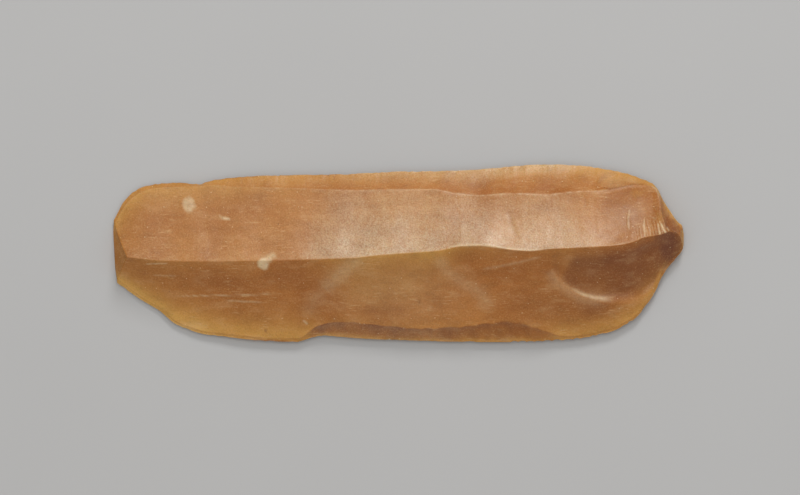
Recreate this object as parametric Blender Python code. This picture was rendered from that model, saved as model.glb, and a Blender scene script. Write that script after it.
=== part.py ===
"""A knapped flint sickle blade, lying on its inner face with its ridged outer face up.

The blade is one flake of stone. Five lines run along it, from the snapped end to the striking
platform: the cutting edge, the upper ridge, the main ridge, the head of the blunting retouch and
the back edge. The outer face is stretched over those lines, and each stretch between two of them
is slightly hollow, as an old flake scar is. The inner face closes the stone from below. It arches
between the snapped end and the bulb of percussion, which are what the blade rests on.

X runs along the blade towards the platform, Y towards the cutting edge, and Z up.
Sizes are in metres. The free forms are shares of them: places along the blade are shares of the
length, places across it are shares of the width, and heights are shares of the thickness. The
lists of points give them as percentages.
"""

import math

import bpy
import numpy as np

# Overall sizes
LENGTH = 0.090
WIDTH = 0.028
THICKNESS = 0.008

# Inner face: how high it arches off the floor, and how far its margins turn up
ARCH_HEIGHT = 0.0005
MARGIN_LIFT = 0.00045
FLAT_SHARE_OF_HALF_WIDTH = 0.5

# End facets: how far each leans back from upright, and how far the snap turns off square
SNAP_LEAN = math.radians(25)
SNAP_SKEW = math.radians(3)
PLATFORM_LEAN = math.radians(13)

# Bulb of percussion: its place along the blade, and how far it reaches along and across
BULB_PLACE_SHARE = 0.88
BULB_LENGTH_SHARE = 0.085
BULB_WIDTH_SHARE = 0.21

# Hinge scar beside the platform: an oval hollow that ends in a step at its far end, with easier sides.
# The step's and the sides' shares are of the scar's own reach. It fades out near the main ridge and the
# retouch, as shares of the facet between them, and before the platform, as shares of the length.
SCAR_PLACE_ALONG_SHARE = 0.902
SCAR_PLACE_ACROSS_SHARE = -0.05
SCAR_LENGTH_SHARE = 0.138
SCAR_WIDTH_SHARE = 0.238
SCAR_DEPTH_SHARE = 0.13
SCAR_STEP_SHARE = 0.16
SCAR_SIDE_SHARE = 0.5
SCAR_SIDES_START_SHARE = -0.6
SCAR_RIDGE_FADE_SHARE = 0.3
SCAR_BACK_FADE_SHARE = 0.25
SCAR_PLATFORM_FADE_SHARES = (0.025, 0.075)

# Hollow of each stretch as a share of its breadth, from the cutting edge to the back edge
STRIP_HOLLOW = 0.03
MIDDLE_FACET_HOLLOW = 0.04
LOWER_FACET_HOLLOW = 0.03
RETOUCH_HOLLOW = 0.06

# Mesh: stations along the blade, steps that find a line's end on a facet, and faces across each stretch
STATIONS = 96
STEPS_TO_FACET = 20
END_CROWDING = 0.25
STRIP_FACES = 2
MIDDLE_FACET_FACES = 6
LOWER_FACET_FACES = 12
RETOUCH_FACES = 2
SCAR_FOOT_COLUMN = 6
SCAR_RIM_COLUMN = 8
SCAR_COLUMNS_START = 2.2
SCAR_COLUMN_SHARES = (0.3, 0.8)
SCAR_COLUMN_GAP_SHARE = 0.1

# Plan of the two edges and the main ridge: place along from the snapped end, place across from the middle
CUTTING_EDGE = (
    (0, 17.6), (0.9, 23.8), (1.9, 29.4), (3, 33.4), (4.2, 35.9), (5.6, 37.9), (8.2, 39.6), (11, 40.2),
    (13.5, 39.6), (15.4, 38.2), (17.3, 40.4), (21.4, 42.7), (26.6, 43.8), (40, 44.6), (50, 46.1), (61, 46.9),
    (71.3, 49.6), (76.5, 50), (82, 49.4), (85.3, 48), (89.7, 45.2), (92.3, 42.4), (94.4, 39.6), (95.2, 37.3),
    (96.5, 29.4), (97.9, 22.7), (99.1, 17.6), (100, 11.4),
)
MAIN_RIDGE = (
    (2, -2), (8, -4), (13.5, -4.5), (22, -4.3), (30, -3.8), (37, -3.2), (42, -2.6), (47, -1), (52, 0.2),
    (57, 1.4), (58.5, 2.4), (61, 4.1), (64.3, 4.4), (70.4, 1.8), (73, 1.3), (76.5, 2.4), (82, 3.2),
    (87, 4.1), (89.5, 5), (91.6, 6.8), (93.2, 9), (95.8, 10.3), (97.5, 12), (98.4, 12), (99.3, 9.7),
)
BACK_EDGE = (
    (0.5, -16.2), (1.9, -19.3), (5.6, -27.5), (8.2, -32.3), (9.5, -35.9), (10.9, -39.6), (13.5, -43.2),
    (16, -45.5), (21.4, -47.7), (26.6, -49.4), (32.7, -49.9), (33.8, -49.4), (35.2, -47.2), (37.3, -46.1),
    (40, -47.2), (45, -48.3), (66, -50), (69.5, -50), (78.3, -48.9), (82, -47.5), (85, -45.5), (87.4, -43.2),
    (89.7, -39.3), (91.8, -34.2), (93.7, -27.5), (95.1, -20.7), (96.8, -9.4), (97.9, -4.9), (99.1, -1.5),
    (100, 3.3),
)

# Breadth of the strip above the upper ridge, and of the retouch along the back edge
STRIP_BREADTH = (
    (0, 3.4), (3, 3.1), (6, 2.4), (10, 2.5), (15.3, 1.4), (18, 3.1), (22, 5.6), (33, 7.7), (50, 10.2),
    (55.5, 10.4), (61, 13.2), (64.5, 14.8), (68, 15), (75.7, 16.9), (80, 15.4), (85.3, 12.8), (91.4, 5.2),
    (93.7, 2.8), (95.1, 2.4), (95.7, 6), (96.2, 11.5), (96.7, 14.2), (97.9, 9.2), (99.1, 6), (100, 0.9),
)
RETOUCH_BREADTH = (
    (0, 3), (2, 2.4), (5.6, 1.7), (32.7, 1.9), (34, 3), (35.9, 6), (41.5, 8.9), (46, 8.3), (53, 6.8),
    (58, 7.6), (64.3, 11.4), (69.5, 12.4), (74, 11), (77.2, 4.4), (79, 2.2), (82, 1.7), (94, 1.7), (97, 3.2),
    (99, 3), (100, 1.2),
)

# Heights of the three inner lines over the floor
UPPER_RIDGE_HEIGHT = (
    (0, 8), (3, 11.5), (8, 14), (15, 18), (22, 23), (32, 30), (42, 36), (50, 40.5), (62, 46.5), (73, 51),
    (80, 50), (85.5, 46), (88, 42), (91, 35.5), (94, 28), (95.1, 28), (96, 46), (96.7, 61), (98, 53),
    (100, 32),
)
MAIN_RIDGE_HEIGHT = (
    (0, 48), (2, 52), (8, 61), (15, 69), (25, 77), (38, 86), (50, 92.5), (62, 97.5), (72, 100), (82, 99.5),
    (88, 95.5), (92, 89), (95.5, 76), (98, 56), (100, 38),
)
RETOUCH_HEAD_HEIGHT = (
    (0, 8.5), (8, 8.5), (12, 9.8), (16, 11.2), (20, 12.9), (25, 14.3), (31.5, 14.6), (33.8, 19), (36, 28),
    (38, 31.5), (55, 31.5), (64, 37.5), (70, 39), (74, 38), (75.8, 32.5), (77.1, 23.5), (78.6, 17),
    (82, 14.8), (88, 15.2), (92, 16), (95, 17.5), (97, 20), (100, 22),
)

# Rise of the inner face along the blade, as a percentage of the arch's own height
INNER_ARCH = ((0, 0), (6, 0), (14, 35), (26, 100), (78, 100), (92, 115), (97, 160), (100, 210))


def smooth_curve(points, at):
    """Shares at places along a smooth curve through (place, value) points that never overshoots them."""
    place, value = np.array(points, float).T / 100
    step = np.diff(place)
    slope = np.diff(value) / step
    product = slope[:-1] * slope[1:]
    turns_back = product <= 0
    inner = np.where(turns_back, 0, 2 * product / np.where(turns_back, 1, slope[:-1] + slope[1:]))
    tangent = np.concatenate([slope[:1], inner, slope[-1:]])
    at = np.clip(at, place[0], place[-1])
    i = np.clip(np.searchsorted(place, at) - 1, 0, len(step) - 1)
    t = (at - place[i]) / step[i]
    return (
        value[i] * (1 + 2 * t) * (1 - t) ** 2
        + value[i + 1] * t * t * (3 - 2 * t)
        + step[i] * t * (1 - t) * (tangent[i] * (1 - t) - tangent[i + 1] * t)
    )


def smooth_step(value):
    """0 below 0, 1 above 1, and a smooth rise between."""
    t = np.clip(value, 0, 1)
    return t * t * (3 - 2 * t)


def cutting_edge_y(x):
    return WIDTH * smooth_curve(CUTTING_EDGE, x / LENGTH)


def upper_ridge_y(x):
    return cutting_edge_y(x) - WIDTH * smooth_curve(STRIP_BREADTH, x / LENGTH)


def main_ridge_y(x):
    return WIDTH * smooth_curve(MAIN_RIDGE, x / LENGTH)


def back_edge_y(x):
    return WIDTH * smooth_curve(BACK_EDGE, x / LENGTH)


def retouch_head_y(x):
    return back_edge_y(x) + WIDTH * smooth_curve(RETOUCH_BREADTH, x / LENGTH)


def inner_face_height(x, y):
    """Height of the inner face over the floor. It comes down to the floor under the bulb."""
    middle = (cutting_edge_y(x) + back_edge_y(x)) / 2
    off_middle = np.abs(y - middle) / (cutting_edge_y(x) - middle)
    upturn = smooth_step((off_middle - FLAT_SHARE_OF_HALF_WIDTH) / (1 - FLAT_SHARE_OF_HALF_WIDTH))
    from_bulb = np.hypot(
        (x / LENGTH - BULB_PLACE_SHARE) / BULB_LENGTH_SHARE, (y - middle) / WIDTH / BULB_WIDTH_SHARE
    )
    arch = ARCH_HEIGHT * smooth_curve(INNER_ARCH, x / LENGTH)
    return arch * smooth_step(from_bulb) + MARGIN_LIFT * upturn


def snap_plane(y, z):
    """X of the snapped end's facet."""
    corner_y = WIDTH * CUTTING_EDGE[0][1] / 100
    return math.tan(SNAP_LEAN) * z + math.tan(SNAP_SKEW) * (corner_y - y)


def platform_plane(y, z):
    """X of the striking platform's facet."""
    foot = ARCH_HEIGHT * INNER_ARCH[-1][1] / 100
    return LENGTH - math.tan(PLATFORM_LEAN) * (z - foot)


def line_point(line_y, height, x):
    """The line's y and z at x. An edge has no height of its own: it lies on the inner face."""
    y = line_y(x)
    z = inner_face_height(x, y) if height is None else THICKNESS * smooth_curve(height, x / LENGTH)
    return y, z


def end_of_line(line_y, height, plane, x):
    """X where a line meets an end facet, found by walking to it from a first guess."""
    for _ in range(STEPS_TO_FACET):
        x = plane(*line_point(line_y, height, x))
    return x


def line_along_blade(line_y, height):
    """The line's points, one for each station. The stations crowd together towards both ends."""
    start = end_of_line(line_y, height, snap_plane, np.zeros(1))
    end = end_of_line(line_y, height, platform_plane, np.full(1, LENGTH))
    even = np.linspace(0, 1, STATIONS + 1)
    x = start + (end - start) * (even - END_CROWDING * np.sin(2 * math.pi * even) / (2 * math.pi))
    return np.stack([x, *line_point(line_y, height, x)], axis=1)


def scar_frame(x, y):
    """How far a point lies from the middle of the hinge scar, along and across, as shares of its reach."""
    along = (x / LENGTH - SCAR_PLACE_ALONG_SHARE) / SCAR_LENGTH_SHARE
    across = (y / WIDTH - SCAR_PLACE_ACROSS_SHARE) / SCAR_WIDTH_SHARE
    return along, across


def scar_step_share(along):
    """Share of the scar's reach that its step takes up: steep at the far end, easy near the platform."""
    eased = smooth_step(along - SCAR_SIDES_START_SHARE)
    return SCAR_STEP_SHARE + (SCAR_SIDE_SHARE - SCAR_STEP_SHARE) * eased


def hinge_scar_depth(points, share):
    """How far the hinge scar sinks the lower facet. It fades out at the ridge, the back and the platform."""
    along, across = scar_frame(points[..., 0], points[..., 1])
    within = smooth_step((1 - np.hypot(along, across)) / scar_step_share(along))
    near, far = SCAR_PLATFORM_FADE_SHARES
    before_platform = smooth_step((1 - points[..., 0] / LENGTH - near) / (far - near))
    off_lines = smooth_step(share / SCAR_RIDGE_FADE_SHARE) * smooth_step((1 - share) / SCAR_BACK_FADE_SHARE)
    return THICKNESS * SCAR_DEPTH_SHARE * within * before_platform * off_lines


def even_shares(faces):
    """Even shares across a stretch, the same at every station."""
    return np.tile(np.arange(faces) / faces, (STATIONS + 1, 1))


def lower_facet_shares(ridge, head):
    """Shares across the lower facet, with two columns led along the foot and the rim of the hinge scar."""
    even = even_shares(LOWER_FACET_FACES)
    foot, rim = even[0, SCAR_FOOT_COLUMN], even[0, SCAR_RIM_COLUMN]
    along, ridge_across = scar_frame(ridge[:, 0], ridge[:, 1])
    _, head_across = scar_frame(head[:, 0], head[:, 1])
    near_scar = smooth_step(SCAR_COLUMNS_START - np.abs(along))
    led = []
    for reach, even_share in ((1 - scar_step_share(along), foot), (np.ones(1), rim)):
        across = -np.sqrt(np.clip(reach**2 - along**2, 0, 1))
        at_scar = np.clip((ridge_across - across) / (ridge_across - head_across), *SCAR_COLUMN_SHARES)
        led.append(even_share + (at_scar - even_share) * near_scar)
    led[1] = np.maximum(led[1], led[0] + SCAR_COLUMN_GAP_SHARE)
    return np.array([np.interp(row, [0, foot, rim, 1], [0, a, b, 1]) for row, a, b in zip(even, *led)])


def stretch(near, far, shares, hollow):
    """Rows of points from one line up to, and not including, the next, sagging between them."""
    points = near[:, None] + (far - near)[:, None] * shares[..., None]
    breadth = np.linalg.norm((far - near)[:, :2], axis=1)[:, None]
    points[..., 2] -= 4 * hollow * breadth * shares * (1 - shares)
    return points


def outer_face():
    """The outer face's points: a row for each station, a column from the cutting edge to the back edge."""
    edge = line_along_blade(cutting_edge_y, None)
    upper = line_along_blade(upper_ridge_y, UPPER_RIDGE_HEIGHT)
    ridge = line_along_blade(main_ridge_y, MAIN_RIDGE_HEIGHT)
    head = line_along_blade(retouch_head_y, RETOUCH_HEAD_HEIGHT)
    back = line_along_blade(back_edge_y, None)
    strip = stretch(edge, upper, even_shares(STRIP_FACES), STRIP_HOLLOW)
    middle = stretch(upper, ridge, even_shares(MIDDLE_FACET_FACES), MIDDLE_FACET_HOLLOW)
    shares = lower_facet_shares(ridge, head)
    lower = stretch(ridge, head, shares, LOWER_FACET_HOLLOW)
    lower[..., 2] -= hinge_scar_depth(lower, shares)
    retouch = stretch(head, back, even_shares(RETOUCH_FACES), RETOUCH_HOLLOW)
    return np.concatenate([strip, middle, lower, retouch, back[:, None]], axis=1)


def inner_face(outer):
    """The inner face's points, in columns spread evenly between the two edges of the outer face."""
    share = np.linspace(0, 1, outer.shape[1])[:, None]
    inner = outer[:, :1] * (1 - share) + outer[:, -1:] * share
    inner[..., 2] = inner_face_height(inner[..., 0], inner[..., 1])
    inner[:, [0, -1]] = outer[:, [0, -1]]
    return inner


def trim_to_facets(face):
    """Puts the first and last station exactly on the snapped end's facet and the platform's facet."""
    face[0, :, 0] = snap_plane(face[0, :, 1], face[0, :, 2])
    face[-1, :, 0] = platform_plane(face[-1, :, 1], face[-1, :, 2])


def blade_mesh():
    """The closed mesh. The middle of its box is over the origin, and its lowest point is on the floor."""
    outer = outer_face()
    inner = inner_face(outer)
    for face in (outer, inner):
        trim_to_facets(face)
    stations, columns = outer.shape[:2]
    last = columns - 1
    points = np.concatenate([outer.reshape(-1, 3), inner[:, 1:last].reshape(-1, 3)])
    low, high = points.min(0), points.max(0)
    points -= [(low[0] + high[0]) / 2, (low[1] + high[1]) / 2, low[2]]

    over = np.arange(stations * columns).reshape(stations, columns)
    under = over.copy()
    under[:, 1:last] = over.size + np.arange(stations * (columns - 2)).reshape(stations, columns - 2)
    faces = []
    for i in range(stations - 1):
        for j in range(last):
            faces.append((over[i, j], over[i, j + 1], over[i + 1, j + 1], over[i + 1, j]))
            faces.append((under[i, j], under[i + 1, j], under[i + 1, j + 1], under[i, j + 1]))
    for j in range(last):
        faces.append((over[0, j], under[0, j], under[0, j + 1], over[0, j + 1]))
        faces.append((over[-1, j], over[-1, j + 1], under[-1, j + 1], under[-1, j]))
    # The end caps' outermost faces are triangles, because the two faces share the edges' points
    faces = [tuple(dict.fromkeys(map(int, face))) for face in faces]

    mesh = bpy.data.meshes.new("flint_blade")
    mesh.from_pydata(points.tolist(), [], faces)
    mesh.shade_smooth()
    mark_creases(mesh, over)
    return mesh


def mark_creases(mesh, over):
    """Marks the five lines and the rims of the end facets sharp."""
    stretches = (0, STRIP_FACES, MIDDLE_FACET_FACES, LOWER_FACET_FACES, RETOUCH_FACES)
    lines = {int(point) for column in np.cumsum(stretches) for point in over[:, column]}
    column_of = {int(point): j for row in over for j, point in enumerate(row)}
    ends = {polygon.index for polygon in mesh.polygons[-2 * (over.shape[1] - 1):]}
    rims = {key for polygon in mesh.polygons if polygon.index in ends for key in polygon.edge_keys}
    for edge in mesh.edges:
        a, b = edge.vertices
        along_line = a in lines and b in lines and column_of[a] == column_of[b]
        edge.use_edge_sharp = along_line or edge.key in rims


def flint():
    """Honey-brown flint with a waxy sheen."""
    material = bpy.data.materials.new("flint")
    material.use_nodes = True
    shader = material.node_tree.nodes["Principled BSDF"]
    shader.inputs["Base Color"].default_value = (0.42, 0.22, 0.09, 1)
    shader.inputs["Roughness"].default_value = 0.45
    shader.inputs["Metallic"].default_value = 0
    return material


def main():
    for old in list(bpy.data.objects):
        bpy.data.objects.remove(old)
    blade = bpy.data.objects.new("flint_blade", blade_mesh())
    blade.data.materials.append(flint())
    bpy.context.scene.collection.objects.link(blade)


main()
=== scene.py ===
"""Looks of the sickle blade: the fine surface of the knapped flint, its material, floor, light and camera.

The blade's own frame has x along it from the snapped end, y across it from the middle towards the
cutting edge, and z up from the floor. Lists of points give places along it as percentages of its
length, places across it as percentages of its width, and heights as percentages of its thickness.
"""

import math

import bpy
import numpy as np
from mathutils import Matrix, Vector, noise


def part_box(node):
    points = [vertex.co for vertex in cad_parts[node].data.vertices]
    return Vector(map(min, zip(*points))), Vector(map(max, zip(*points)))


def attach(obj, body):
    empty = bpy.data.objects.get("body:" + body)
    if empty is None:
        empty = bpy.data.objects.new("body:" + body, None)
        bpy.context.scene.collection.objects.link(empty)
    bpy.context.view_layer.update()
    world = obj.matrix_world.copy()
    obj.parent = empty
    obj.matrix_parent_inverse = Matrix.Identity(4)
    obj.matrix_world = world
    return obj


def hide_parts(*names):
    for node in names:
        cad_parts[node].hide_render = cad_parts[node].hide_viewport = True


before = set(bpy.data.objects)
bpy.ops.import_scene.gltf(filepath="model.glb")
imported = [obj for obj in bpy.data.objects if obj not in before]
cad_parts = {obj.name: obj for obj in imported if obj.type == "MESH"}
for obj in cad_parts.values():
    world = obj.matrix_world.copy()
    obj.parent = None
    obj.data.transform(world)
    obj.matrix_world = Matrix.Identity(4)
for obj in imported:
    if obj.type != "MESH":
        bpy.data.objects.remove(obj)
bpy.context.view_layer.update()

LOW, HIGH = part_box("flint_blade")
LENGTH, WIDTH, THICKNESS = HIGH - LOW
MM = 0.001

# The photograph's frame, and the blade's place in it, in pixels
FRAME_WIDTH_PX, FRAME_HEIGHT_PX = 800, 495
BLADE_LENGTH_PX = 571
BLADE_MIDDLE_PX = (398.5, 253.25)

# Mesh: stations along the blade and faces across each stretch, crowded towards the lines between them
STATIONS = 470
STRIP_FACES, MIDDLE_FACES, LOWER_FACES, RETOUCH_FACES, INNER_FACES = 16, 50, 70, 14, 40
END_CROWDING = 0.25
LINE_CROWDING = 0.55
ROUNDS_TO_END_FACETS = 20

# Facets of the outer face, in order from the cutting edge to the back
STRIP, MIDDLE, LOWER, RETOUCH = range(4)

# Plan of the two edges and the main ridge
CUTTING_EDGE = (
    (0, 17.6), (0.9, 23.2), (1.9, 28.9), (3, 33), (4.2, 35.7), (5.6, 37.6), (8.2, 39.3), (11, 39.7),
    (13.5, 39.3), (15.2, 39), (16.8, 40.6), (18.5, 41.7), (21.4, 42.7), (26.6, 43.7), (40, 44.5),
    (50, 46), (61, 46.6), (66, 47.7), (71.3, 49.4), (76.5, 50), (82, 49.4), (85.3, 48), (89.7, 45.2),
    (92.3, 42.4), (94.4, 39.6), (95.2, 37.3), (96.5, 29.2), (97.9, 22.5), (99.1, 17.6), (99.7, 15.6),
    (100, 11.4),
)
MAIN_RIDGE = (
    (2, -2), (8, -4), (13.5, -4.5), (22, -4.3), (30, -3.8), (37, -3.2), (42, -2.6), (47, -1), (52, 0.2),
    (57, 1.4), (58.5, 2.4), (61, 4.1), (64.3, 4.4), (70.4, 1.8), (73, 1.3), (76.5, 2.4), (82, 3.2),
    (87, 4.1), (89.5, 5), (91.6, 6.8), (93.2, 9), (95.8, 10.3), (97.5, 12), (98.4, 12), (99.3, 9.7),
)
BACK_EDGE = (
    (0.5, -16.2), (1.9, -19.3), (5.6, -27.5), (8.2, -32.3), (9.5, -35.9), (10.9, -39.6), (13.5, -43.2),
    (16, -45.5), (21.4, -47.7), (26.6, -49.4), (32.2, -49.9), (33.4, -49), (34.8, -47.6), (37, -46.5),
    (40, -47.2), (45, -48.3), (66, -50), (69.5, -50), (78.3, -49.2), (82, -48), (85, -46.1), (87.4, -44),
    (89.6, -40.7), (91.5, -36.9), (93.3, -30), (94.8, -22.8), (96.7, -10.6), (97.9, -5.6), (99.1, -2),
    (100, 3.3),
)

# Breadth of the strip above the upper ridge, and of the retouch along the back edge
STRIP_BREADTH = (
    (0, 3.4), (3, 3.1), (6, 2.4), (10, 2.5), (15.3, 1.4), (18, 3.1), (22, 5.6), (33, 7.7), (50, 10.2),
    (55.5, 10.4), (61, 13.2), (64.5, 14.8), (68, 15), (75.7, 16.9), (80, 15.4), (85.3, 12.8), (91.4, 5.2),
    (93.7, 2.8), (95.2, 2), (95.65, 2.6), (95.9, 5.5), (96.3, 10), (96.9, 12.4), (97.9, 9.2), (99.1, 6),
    (100, 0.9),
)
RETOUCH_BREADTH = (
    (0, 3), (2, 2.4), (5.6, 1.7), (32.7, 1.9), (34, 3), (35.9, 6), (41.5, 8.9), (46, 8.3), (53, 6.8),
    (58, 7.4), (64.3, 9.8), (69.5, 11.1), (72.3, 9.3), (74.7, 7), (77.2, 3.9), (79, 2.2), (82, 1.7),
    (94, 1.7), (97, 3.2), (99, 3), (100, 1.2),
)

# Heights of the three inner lines
UPPER_RIDGE_HEIGHT = (
    (0, 8), (3, 11.5), (8, 14), (15, 18), (22, 23), (32, 30), (42, 36), (50, 40.5), (62, 46.5), (73, 51),
    (80, 50), (85.5, 46), (88, 42), (91, 35.5), (94, 28), (95.1, 27), (95.65, 30), (95.9, 37), (96.3, 51),
    (96.9, 60), (98, 53), (100, 32),
)
MAIN_RIDGE_HEIGHT = (
    (0, 48), (2, 52), (8, 61), (15, 69), (25, 77), (38, 86), (50, 92.5), (62, 97.5), (72, 100), (82, 99.5),
    (88, 95.5), (92, 89), (95.5, 76), (98, 56), (100, 38),
)
RETOUCH_HEAD_HEIGHT = (
    (0, 8.5), (8, 8.5), (12, 9.8), (16, 11.2), (20, 12.9), (25, 14.3), (31.5, 14.6), (33.8, 19), (36, 28),
    (38, 31.5), (55, 31.3), (64, 35.3), (70, 37), (72.3, 34.8), (74.7, 30), (76, 26), (77.2, 21.3),
    (78.6, 16.5), (82, 14.8), (88, 15.2), (92, 16), (95, 17.5), (97, 20), (100, 22),
)

# Inner face: its arch over the floor, its upturned margins and the bulb of percussion
ARCH_HEIGHT = 0.5 * MM
INNER_ARCH = ((0, 0), (6, 0), (14, 35), (26, 100), (78, 100), (92, 115), (97, 160), (100, 210))
MARGIN_LIFT = 0.45 * MM
FLAT_SHARE_OF_HALF_WIDTH = 0.5
BULB_PLACE, BULB_LENGTH, BULB_WIDTH = 0.88 * LENGTH, 0.085 * LENGTH, 0.21 * WIDTH

# End facets
SNAP_LEAN = math.radians(25)
SNAP_SKEW = math.radians(3)
PLATFORM_LEAN = math.radians(13)

# Hinge scar: its middle, its reach, and the shares of that reach that its step and its sides take up
SCAR_ALONG, SCAR_ACROSS = 0.902 * LENGTH, -0.05 * WIDTH
SCAR_LENGTH, SCAR_WIDTH = 0.138 * LENGTH, 0.238 * WIDTH
SCAR_DEPTH = 0.13 * THICKNESS
SCAR_STEP_SHARE, SCAR_SIDE_SHARE = 0.13, 0.5
SCAR_SIDES_START = -0.6

# Where the scar fades out: shares of the lower facet at both sides, and shares of the length
SCAR_RIDGE_FADE, SCAR_BACK_FADE = 0.3, 0.25
SCAR_PLATFORM_GAP, SCAR_PLATFORM_FADE = 0.025, 0.05

# Hollow of each stretch as a share of its breadth
STRIP_HOLLOW, MIDDLE_HOLLOW, LOWER_HOLLOW, RETOUCH_HOLLOW = 0.03, 0.04, 0.03, 0.06

# Small flaking of the edges: breadth of the nicks, and their greatest depth
EDGE_NICK_BREADTHS = (0.7 * MM, 2.2 * MM)
CUTTING_NICK_DEPTH = 0.13 * MM
BACK_NICK_DEPTH = 0.26 * MM
RETOUCH_SCAR_BREADTHS = (1.6 * MM, 4.2 * MM)
RETOUCH_SCAR_DEPTH = 0.3 * MM
RETOUCH_SCAR_DEPTH_SHARE = 0.12
RETOUCH_SCAR_SEED = 21
PLAIN_MARGIN_SHARE = 0.022
NIBBLE_BREADTHS = (0.9 * MM, 2.6 * MM)
NIBBLE_DEPTH = 0.09 * MM
LEAST_THICKNESS = 0.04 * MM
WEAR_PASSES = 2


def smooth_curve(points, at):
    """Shares at places along a smooth curve through (place, value) points that never overshoots them."""
    place, value = np.array(points, float).T / 100
    step = np.diff(place)
    slope = np.diff(value) / step
    product = slope[:-1] * slope[1:]
    turns_back = product <= 0
    inner = np.where(turns_back, 0, 2 * product / np.where(turns_back, 1, slope[:-1] + slope[1:]))
    tangent = np.concatenate([slope[:1], inner, slope[-1:]])
    at = np.clip(at, place[0], place[-1])
    i = np.clip(np.searchsorted(place, at) - 1, 0, len(step) - 1)
    t = (at - place[i]) / step[i]
    return (
        value[i] * (1 + 2 * t) * (1 - t) ** 2
        + value[i + 1] * t * t * (3 - 2 * t)
        + step[i] * t * (1 - t) * (tangent[i] * (1 - t) - tangent[i + 1] * t)
    )


def smooth_step(value):
    """0 below 0, 1 above 1, and a smooth rise between."""
    t = np.clip(value, 0, 1)
    return t * t * (3 - 2 * t)


def bump_between(value, low, high):
    """0 outside low..high, and a smooth rise to 1 half way between."""
    return smooth_step(2 * (value - low) / (high - low)) * smooth_step(2 * (high - value) / (high - low))


def crowded(count, crowding):
    """Shares from 0 to 1, closer together towards both ends."""
    even = np.linspace(0, 1, count + 1)
    return even - crowding * np.sin(2 * math.pi * even) / (2 * math.pi)


def cloud(points, size, seed, octaves=2):
    """Smooth noise from about -1 to 1 over the points' plan, with lumps of about that size."""
    plan = points.reshape(-1, 3)[:, :2] / size
    values = [noise.fractal(Vector((x, y, seed)), 1.0, 2.0, octaves) for x, y in plan]
    return np.array(values).reshape(points.shape[:-1])


def scallops(x, seed, breadths, kept=0.0):
    """Depths from 0 to 1 of a run of scallops with random breadths, of which a share is kept flat."""
    rng = np.random.default_rng(seed)
    ends = np.cumsum(rng.uniform(*breadths, int(1.5 * LENGTH / breadths[0]))) - breadths[1]
    depths = np.where(rng.random(len(ends)) < kept, 0, rng.uniform(0.25, 1, len(ends)))
    i = np.clip(np.searchsorted(ends, x), 1, len(ends) - 1)
    t = (x - ends[i - 1]) / (ends[i] - ends[i - 1])
    return depths[i] * np.clip(4 * t * (1 - t), 0, 1)


def path_distance(points, path):
    """Distance in plan from points to a path of (along, across) percentages, and their place along it."""
    x, y = points[..., 0], points[..., 1]
    corners = np.array(path, float) / 100 * [LENGTH, WIDTH]
    least = np.full(x.shape, np.inf)
    run = np.zeros(x.shape)
    for k, ((ax, ay), (bx, by)) in enumerate(zip(corners, corners[1:])):
        dx, dy = bx - ax, by - ay
        t = np.clip(((x - ax) * dx + (y - ay) * dy) / (dx * dx + dy * dy), 0, 1)
        distance = np.hypot(x - ax - t * dx, y - ay - t * dy)
        closer = distance < least
        least = np.where(closer, distance, least)
        run = np.where(closer, (k + t) / (len(path) - 1), run)
    return least, run


def streak(points, path, half_width, fade=0.15):
    """1 along a path, falling off across it, and fading over that share of it at both ends."""
    distance, run = path_distance(points, path)
    return np.exp(-((distance / half_width) ** 2)) * smooth_step(run / fade) * smooth_step((1 - run) / fade)


def percent_along(points):
    return 100 * points[..., 0] / LENGTH


def oval(points, along, across, length, width):
    """Distance from an oval's middle as a share of its reach; places and reaches are percentages."""
    return np.hypot(
        (percent_along(points) - along) / length, (100 * points[..., 1] / WIDTH - across) / width
    )


def cutting_edge_y(x):
    return WIDTH * smooth_curve(CUTTING_EDGE, x / LENGTH)


def nicked_cutting_edge_y(x):
    nicks = scallops(x, 3, EDGE_NICK_BREADTHS, kept=0.35)
    return cutting_edge_y(x) - CUTTING_NICK_DEPTH * nicks


def upper_ridge_y(x):
    return cutting_edge_y(x) - WIDTH * smooth_curve(STRIP_BREADTH, x / LENGTH)


def main_ridge_y(x):
    return WIDTH * smooth_curve(MAIN_RIDGE, x / LENGTH)


def back_edge_y(x):
    return WIDTH * smooth_curve(BACK_EDGE, x / LENGTH)


def nicked_back_edge_y(x):
    right_half = 0.35 + 0.65 * smooth_step((x / LENGTH - 0.6) / 0.1)
    nicks = scallops(x, 8, EDGE_NICK_BREADTHS, kept=0.3)
    return back_edge_y(x) + BACK_NICK_DEPTH * right_half * nicks


def retouch_head_y(x):
    breadth = WIDTH * smooth_curve(RETOUCH_BREADTH, x / LENGTH)
    scars = scallops(x, RETOUCH_SCAR_SEED, RETOUCH_SCAR_BREADTHS)
    depth = np.minimum(RETOUCH_SCAR_DEPTH_SHARE * breadth, RETOUCH_SCAR_DEPTH)
    return back_edge_y(x) + breadth + depth * (scars - 0.5)


def retouched(x):
    """1 where the back is blunted by retouch, 0 along its thin margins."""
    return smooth_step((smooth_curve(RETOUCH_BREADTH, x / LENGTH) - PLAIN_MARGIN_SHARE) / 0.04)


def inner_face_height(x, y):
    """Height of the inner face over the floor. It comes down to the floor under the bulb."""
    middle = (cutting_edge_y(x) + back_edge_y(x)) / 2
    off_middle = np.abs(y - middle) / (cutting_edge_y(x) - middle)
    upturn = smooth_step((off_middle - FLAT_SHARE_OF_HALF_WIDTH) / (1 - FLAT_SHARE_OF_HALF_WIDTH))
    from_bulb = np.hypot((x - BULB_PLACE) / BULB_LENGTH, (y - middle) / BULB_WIDTH)
    arch = ARCH_HEIGHT * smooth_curve(INNER_ARCH, x / LENGTH)
    return arch * smooth_step(from_bulb) + MARGIN_LIFT * upturn


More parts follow.
